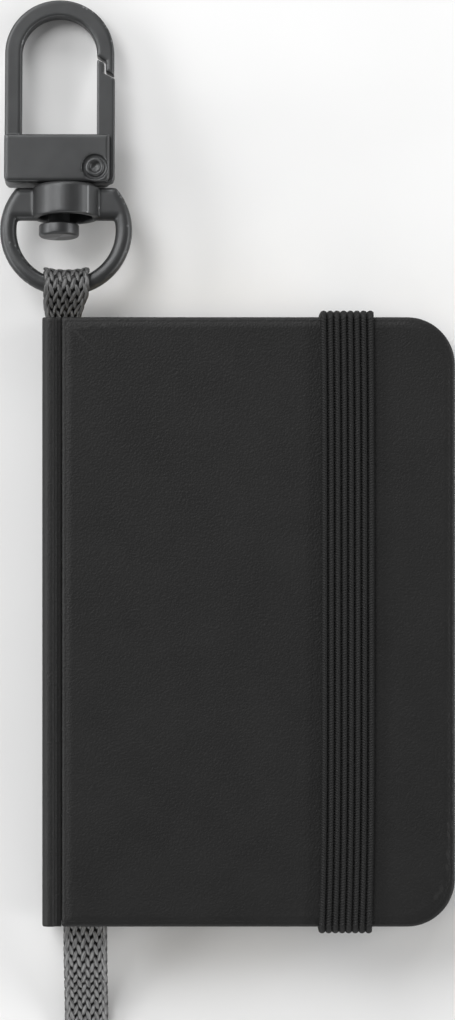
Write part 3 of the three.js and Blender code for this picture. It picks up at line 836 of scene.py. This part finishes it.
def ribbed_strip(name, path, normals, width, shift_at):
    """Woven elastic along an (y, z) path, its ribs on the side that the normals point to."""
    per_rib = 9
    across = np.linspace(0, 1, RIBS * per_rib + 1)
    # The rib height shapes the ribs and is also kept for the material, which paints shade into the
    # valleys between them.
    crown_and_gap_shade = np.abs(np.sin(math.pi * RIBS * across)) ** 0.75
    steps = np.concatenate([[0], np.cumsum(np.linalg.norm(np.diff(path, axis=0), axis=1))])
    rings, weave = [], []
    for (y, z), (ny, nz), distance in zip(path, normals, steps):
        x = (across - 0.5) * width + shift_at(y)
        depth = 0.62 - 0.32 * abs(ny)
        outer = ELASTIC_T * (1 - depth + depth * crown_and_gap_shade)
        face = np.column_stack([x, y + ny * outer, z + nz * outer])
        back = np.array([(x[-1] - 0.04 * MM, y, z), (x[0] + 0.04 * MM, y, z)])
        rings.append(np.concatenate([face, back]))
        slant = np.abs(np.mod(across * RIBS, 2) - 1)
        lines = np.column_stack([np.full(len(across), distance / THREAD / 2), slant * 0.5, across])
        weave.append(np.concatenate([lines, lines[[-1, 0]]]))
    verts, faces = lofted(rings)
    piece = new_object(name, verts, faces, ELASTIC)
    point_vectors(piece, "weave", np.concatenate(weave))
    point_values(piece, "crown_and_gap_shade", np.tile(np.concatenate([crown_and_gap_shade, [0, 0]]), len(path)))
    return piece


def bend_path(corners, radius, spacing):
    """Points and left-hand normals of a line with rounded corners."""
    points = []
    for k, corner in enumerate(corners):
        if k in (0, len(corners) - 1):
            points.append(corner)
            continue
        before = (corners[k - 1] - corner) / np.linalg.norm(corners[k - 1] - corner)
        after = (corners[k + 1] - corner) / np.linalg.norm(corners[k + 1] - corner)
        for s in np.linspace(0, 1, 7):
            a, b = corner + before * radius * (1 - s), corner + after * radius * s
            points.append(a * (1 - s) + b * s)
    dense = []
    for a, b in zip(points[:-1], points[1:]):
        parts = max(1, round(float(np.linalg.norm(b - a)) / spacing))
        dense += [a + (b - a) * k / parts for k in range(parts)]
    dense = np.array(dense + [points[-1]])
    along = np.gradient(dense, axis=0)
    along /= np.linalg.norm(along, axis=1)[:, None]
    return dense, np.column_stack([-along[:, 1], along[:, 0]])


BAND_X = (BAND_LOW.x + BAND_HIGH.x) / 2
BAND_W = BAND_HIGH.x - BAND_LOW.x
BAND_GAP = 0.05 * MM


def band_sway(y):
    """The stretched band's sideways wander, which is largest where it goes over the tail."""
    return BAND_X - (0.14 if y > 0 else 0.33) * MM * (abs(y) / HALF_H) ** 4


def closure_band():
    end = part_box("elastic_anchor_head")[1].y + 0.3 * MM
    out_y = HALF_H + BAND_GAP
    corners = [(end, -BAND_GAP), (out_y, -BAND_GAP), (out_y, BOOK_TOP + BAND_GAP),
               (-out_y, BOOK_TOP + BAND_GAP), (-out_y, -BAND_GAP), (-end, -BAND_GAP)]
    path, left = bend_path([np.array(c) for c in corners], 0.35 * MM, 0.25 * MM)
    piece = ribbed_strip("closure_band", path, -left, BAND_W, band_sway)
    in_place_of(piece, "closure_band", "elastic", "elastic_band")
    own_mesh(piece)


def band_anchor(name, side):
    """One end of the elastic: under the back cover, then up into its slot."""
    low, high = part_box(name)
    far = max(abs(low.y), abs(high.y)) * side
    slot = min(abs(low.y), abs(high.y)) * side
    turn = slot + side * ELASTIC_T
    corners = [(far, -BAND_GAP), (turn, -BAND_GAP), (turn, high.z)]
    path, left = bend_path([np.array(c) for c in corners], 0.12 * MM, 0.25 * MM)
    piece = ribbed_strip(name.replace("elastic", "band"), path, left * side, BAND_W,
                         lambda y: band_sway(side * HALF_H))
    in_place_of(piece, "root", "elastic", name)


closure_band()
band_anchor("elastic_anchor_head", 1)
band_anchor("elastic_anchor_tail", -1)

# ---- Swivel clasp ----


def cast(node, body, voxel=0.1, rounds=5):
    """A CAD solid of the clasp with the soft edges of a plated casting."""
    mesh = NODES[node].data.copy()
    mesh.transform(CLASP.inverted())
    piece = bpy.data.objects.new(f"cast_{node}", mesh)
    bpy.context.scene.collection.objects.link(piece)
    remesh = piece.modifiers.new("even", "REMESH")
    remesh.mode = "VOXEL"
    remesh.voxel_size = voxel
    soften = piece.modifiers.new("soften", "SMOOTH")
    soften.factor = 0.5
    soften.iterations = rounds
    soft = bpy.data.meshes.new_from_object(piece.evaluated_get(bpy.context.evaluated_depsgraph_get()))
    piece.modifiers.clear()
    piece.data = soft
    soft.transform(CLASP)
    soft.materials.clear()
    soft.materials.append(GUNMETAL)
    soft.polygons.foreach_set("use_smooth", [True] * len(soft.polygons))
    in_place_of(piece, body, "gunmetal", node)
    return piece


cast("swivel_ring", "ring", rounds=20)
cast("hook_frame", "hook", rounds=8)
cast("gate", "gate")


def lathe(name, profile, place, body, node, around=64):
    """profile is (radius, height) in millimetres; place takes the axis, +Z, to the frame."""
    verts = []
    for radius, height in profile:
        for k in range(around):
            angle = 2 * math.pi * k / around
            verts.append(place @ Vector((radius * math.cos(angle), radius * math.sin(angle), height)))
    rings = np.array(verts).reshape(len(profile), around, 3)
    points, faces = lofted(list(rings))
    piece = new_object(name, points, faces, GUNMETAL)
    in_place_of(piece, body, "gunmetal", node)
    return piece


def rounded_corner(radius, height, size, way, steps=6):
    """Points round the rim of a turned part, way = 1 going up to the rim and -1 coming from it."""
    angles = np.linspace(0, math.pi / 2, steps)
    ring = [(radius - size * (1 - math.cos(a)), height + size * math.sin(a)) for a in angles]
    return ring if way > 0 else [(r, 2 * height - h) for r, h in ring[::-1]]


def gate_pin():
    """A tubular rivet: its rolled head stands in the countersink round a dimple."""
    pivot = CLASP.inverted() @ Vector(JOINTS["gate_open"]["pos_m"])
    low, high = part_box("gate_pin")
    end = 2.18
    head = 1.2
    roll = 0.27
    half = [(0.01, end - 0.42), (0.4, end - 0.42), (head - 2 * roll - 0.06, end - 0.3)]
    half += [(head - roll - roll * math.cos(a), end - roll + roll * math.sin(a))
             for a in np.linspace(0.1, math.pi, 12)]
    half += [(head - 0.02, end - roll - 0.03), (0.8, end - roll - 0.05)]
    profile = half + [(r, -h) for r, h in half[::-1]]
    place = CLASP @ Matrix.Translation(pivot)
    return lathe("rivet", profile, place, "hook", "gate_pin", 48)


def swivel_post():
    """The post: a neck in the block, a cone, and a flat round head below the hub."""
    axis = CLASP.inverted() @ Vector(JOINTS["hook_swivel"]["pos_m"])
    low, head_h, head_r, neck_r, top = 6.3, 1.5, 2.48, 1.3, 15.43
    profile = [(0.01, low), (head_r - 0.5, low)]
    profile += [(head_r - 0.35 * (1 - math.sin(a)), low + 0.35 * (1 - math.cos(a)))
                for a in np.linspace(0, math.pi / 2, 7)]
    profile += rounded_corner(head_r, low + head_h - 0.2, 0.2, 1)
    profile += [(neck_r + 0.25, low + head_h + 0.12), (neck_r, low + head_h + 0.5)]
    profile += [(neck_r, low + head_h + 2), (neck_r, top), (0.01, top)]
    upright = Matrix.Translation((axis.x, 0, 0)) @ Matrix.Rotation(-math.pi / 2, 4, "X")
    return lathe("post", profile, CLASP @ upright, "hook", "swivel_post")


def gate_spring():
    """The coil between the block and the gate's heel, which the opening gate presses together in the
    real clasp; here it is a fixed coil on the hook.
    """
    low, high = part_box("gate_spring")
    middle = CLASP.inverted() @ ((low + high) / 2)
    wire, radius, turns, around = 0.12, 0.5, 5, 8
    left, right = low.x / MM + wire, high.x / MM - wire
    share = np.linspace(0, 1, turns * 20 + 1)
    angle = 2 * math.pi * turns * share
    outward = np.column_stack([np.zeros_like(angle), np.cos(angle), np.sin(angle)])
    line = outward * radius + [0, middle.y, middle.z]
    line[:, 0] = left + (right - left) * share
    tangent = np.gradient(line, axis=0)
    tangent /= np.linalg.norm(tangent, axis=1)[:, None]
    aside = np.cross(tangent, outward)
    turn = np.arange(around) * 2 * math.pi / around
    rings = [[CLASP @ Vector(p + wire * (o * math.cos(t) + a * math.sin(t))) for t in turn]
             for p, o, a in zip(line, outward, aside)]
    points, faces = lofted([np.array(ring) for ring in rings])
    piece = new_object("spring", points, faces, SPRING)
    in_place_of(piece, "hook", "spring_steel", "gate_spring")
    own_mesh(piece)


gate_pin()
swivel_post()
gate_spring()

# ---- Carried-over CAD nodes ----

CARRIED = {
    "front_board": BOARD, "back_board": BOARD, "spine_strip": BOARD,
    "front_pastedown": ENDPAPER, "back_pastedown": ENDPAPER,
    "front_flyleaf": ENDPAPER, "back_flyleaf": ENDPAPER,
}
for name, material in CARRIED.items():
    NODES[name].data.materials.clear()
    NODES[name].data.materials.append(material)

# ---- Stage and light ----


def floor():
    size = 1.5
    z = CAD_LOW.z - 0.02 * MM
    corners = [(-size, -size, z), (size, -size, z), (size, size, z), (-size, size, z)]
    paint = Paint("floor", grey(0.72), 0.9, Specular_IOR_Level=0.1)
    paint.color(paint.noise(40, 3), grey(0.7), grey(0.74))
    new_object("floor", corners, [(0, 1, 2, 3)], paint.material, smooth=False)


def softbox(name, place, aim, size, power):
    data = bpy.data.lights.new(name, "AREA")
    data.shape = "RECTANGLE"
    data.size, data.size_y = size
    data.energy = power
    light = bpy.data.objects.new(name, data)
    light.location = place
    light.rotation_euler = (Vector(aim) - Vector(place)).to_track_quat("-Z", "Y").to_euler()
    bpy.context.scene.collection.objects.link(light)


floor()
AIM = (0, 0.01, 0)
softbox("key", (-0.45, 0.5, 0.75), AIM, (0.5, 0.5), 6)
softbox("left_strip", (-0.8, 0.05, 0.32), AIM, (0.9, 0.2), 5.5)
softbox("head_strip", (-0.1, 0.9, 0.42), AIM, (0.9, 0.2), 4.5)
softbox("right_strip", (0.8, 0.0, 0.32), AIM, (0.9, 0.15), 5)
softbox("tail_strip", (0.1, -0.8, 0.3), AIM, (0.9, 0.12), 2.5)

world = bpy.data.worlds.new("studio")
world.use_nodes = True
world.node_tree.nodes["Background"].inputs["Color"].default_value = (1, 1, 1, 1)
world.node_tree.nodes["Background"].inputs["Strength"].default_value = 0.2
bpy.context.scene.world = world
bpy.context.scene.view_settings.view_transform = "Standard"
